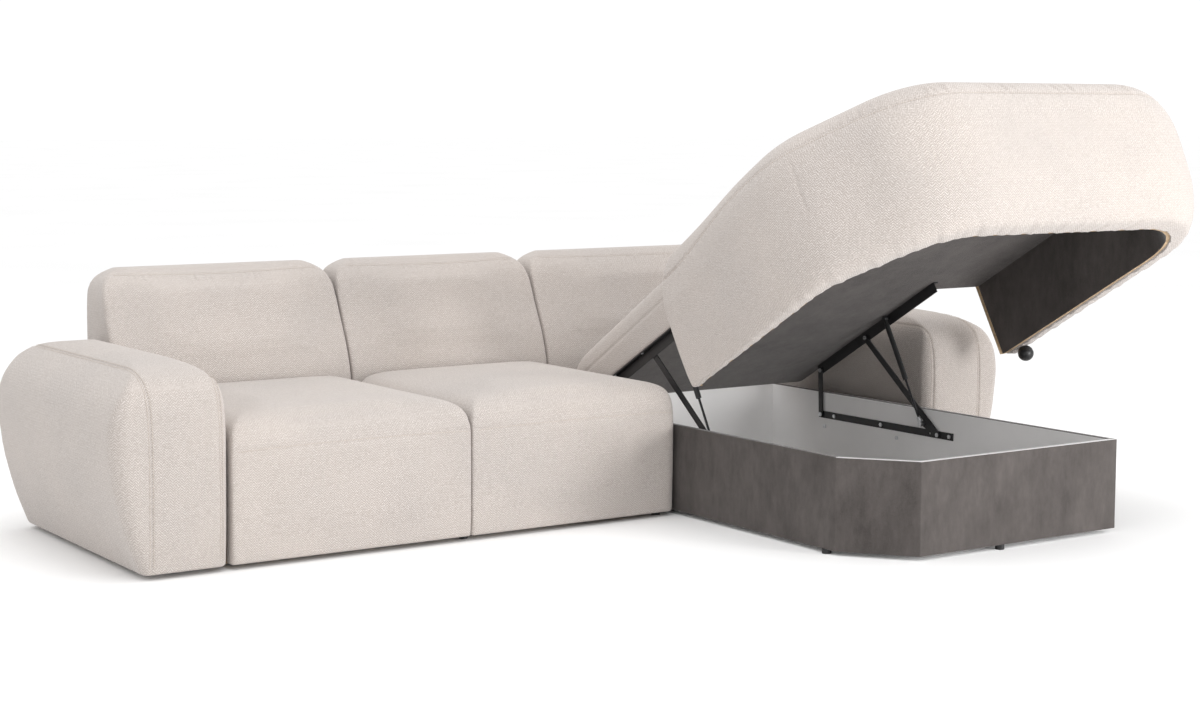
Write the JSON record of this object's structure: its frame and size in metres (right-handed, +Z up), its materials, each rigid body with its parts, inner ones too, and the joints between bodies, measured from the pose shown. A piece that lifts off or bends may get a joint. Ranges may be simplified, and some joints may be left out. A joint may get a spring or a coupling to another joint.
{
  "type": "corner sofa with lift-up chaise storage",
  "caption": "Corner sofa with a storage chaise whose padded seat lifts on strut-assisted link hinges over an open box.",
  "frame": {"origin": "centre of the footprint of the whole sofa with its lid raised, on the floor", "axes": "+X along the long row of seats towards the chaise, +Y from the front to the backrest, +Z up"},
  "size_m": [3.295, 2.217, 1.3972],
  "materials": {
    "cream_weave": "matte structured weave",
    "taupe_velour": "short brushed pile",
    "webbing": "woven elastic strap",
    "laminate": "smooth pale laminate",
    "board": "raw wood board",
    "black_steel": "black powder coat",
    "zinc_steel": "zinc plated",
    "rod_steel": "black polished rod",
    "black_plastic": "satin moulded"
  },
  "bodies": {
    "base": {"left_arm_upholstery": "cream_weave", "left_arm_frame": "board", "right_arm_upholstery": "cream_weave", "right_arm_frame": "board", "left_seat_upholstery": "cream_weave", "right_seat_upholstery": "cream_weave", "seat_front_rail": "board", "seat_rear_rail": "board", "seat_cross_rails": "board", "seat_webbing": "webbing", "left_back_upholstery": "cream_weave", "middle_back_upholstery": "cream_weave", "right_back_upholstery": "cream_weave", "back_uprights": "board", "back_top_rail": "board", "back_shelf": "board", "back_rear_panel": "cream_weave", "chaise_back_uprights": "board", "chaise_back_top_rail": "board", "chaise_back_shelf": "board", "chaise_rear_panel": "cream_weave", "back_webbing": "webbing", "frame_bolts": "zinc_steel", "sofa_glides": "black_plastic", "box_wall_left": "laminate", "box_wall_corner": "laminate", "box_wall_front": "laminate", "box_wall_right": "laminate", "box_wall_rear": "laminate", "box_floor": "laminate", "box_cover": "taupe_velour", "box_glides": "black_plastic", "box_bolts": "zinc_steel", "right_lower_rail": "black_steel", "left_lower_rail": "black_steel"},
    "right_rear_arm": {"right_rear_link": "black_steel", "right_rear_link_pins": "zinc_steel"},
    "left_rear_arm": {"left_rear_link": "black_steel", "left_rear_link_pins": "zinc_steel"},
    "lid": {"right_top_rail": "black_steel", "left_top_rail": "black_steel", "lid_upholstery": "cream_weave", "lid_board": "board", "lid_lining": "taupe_velour", "lid_skirt_left": "board", "lid_skirt_front": "board", "lid_skirt_right": "board", "lid_battens": "board", "top_rail_screws": "zinc_steel", "lid_foot": "black_plastic"},
    "right_front_arm": {"right_front_link": "black_steel", "right_front_link_pins": "zinc_steel"},
    "left_front_arm": {"left_front_link": "black_steel", "left_front_link_pins": "zinc_steel"},
    "right_strut_tube": {"right_strut_tube": "black_steel"},
    "left_strut_tube": {"left_strut_tube": "black_steel"},
    "right_strut_rod": {"right_strut_rod": "rod_steel", "right_strut_socket": "zinc_steel"},
    "left_strut_rod": {"left_strut_rod": "rod_steel", "left_strut_socket": "zinc_steel"}
  },
  "joints": [
    {"name": "lid_lift", "type": "hinge", "parent": "base", "child": "right_rear_arm", "pos_m": [1.215, 0.46653, 0.212], "axis": [1, 0, 0], "range_deg": [-57.54, 0]},
    {"name": "lid_tilt", "type": "hinge", "parent": "right_rear_arm", "child": "lid", "pos_m": [1.215, 0.47159, 0.37292], "axis": [1, 0, 0], "range_deg": [0, 87.04]},
    {"name": "left_rear_arm_turn", "type": "hinge", "parent": "base", "child": "left_rear_arm", "pos_m": [0.299, 0.46653, 0.212], "axis": [1, 0, 0], "range_deg": [-57.54, 0]},
    {"name": "right_front_arm_turn", "type": "hinge", "parent": "base", "child": "right_front_arm", "pos_m": [1.215, -0.15447, 0.212], "axis": [1, 0, 0], "range_deg": [-28.47, 0]},
    {"name": "right_strut_swing", "type": "hinge", "parent": "lid", "child": "right_strut_tube", "pos_m": [1.1995, 0.10661, 0.5909], "axis": [1, 0, 0], "range_deg": [-69.98, 0]},
    {"name": "right_strut_slide", "type": "slide", "parent": "right_strut_tube", "child": "right_strut_rod", "axis": [0, -0.4872, -0.8733], "range_m": [-0.12018, 0]},
    {"name": "left_front_arm_turn", "type": "hinge", "parent": "base", "child": "left_front_arm", "pos_m": [0.299, -0.15447, 0.212], "axis": [1, 0, 0], "range_deg": [-28.47, 0]},
    {"name": "left_strut_swing", "type": "hinge", "parent": "lid", "child": "left_strut_tube", "pos_m": [0.3145, 0.10661, 0.5909], "axis": [1, 0, 0], "range_deg": [-69.98, 0]},
    {"name": "left_strut_slide", "type": "slide", "parent": "left_strut_tube", "child": "left_strut_rod", "axis": [0, -0.4872, -0.8733], "range_m": [-0.12018, 0]}
  ],
  "couplings": [
    {"joint": "lid_tilt", "follows": "lid_lift", "ratio": -1.5127},
    {"joint": "left_rear_arm_turn", "follows": "lid_lift", "ratio": 1},
    {"joint": "right_front_arm_turn", "follows": "lid_lift", "ratio": 0.49477},
    {"joint": "right_strut_swing", "follows": "lid_lift", "ratio": 1.2163},
    {"joint": "right_strut_slide", "follows": "lid_lift", "m_per_rad": 0.11967},
    {"joint": "left_front_arm_turn", "follows": "lid_lift", "ratio": 0.49477},
    {"joint": "left_strut_swing", "follows": "lid_lift", "ratio": 1.2163},
    {"joint": "left_strut_slide", "follows": "lid_lift", "m_per_rad": 0.11967}
  ]
}
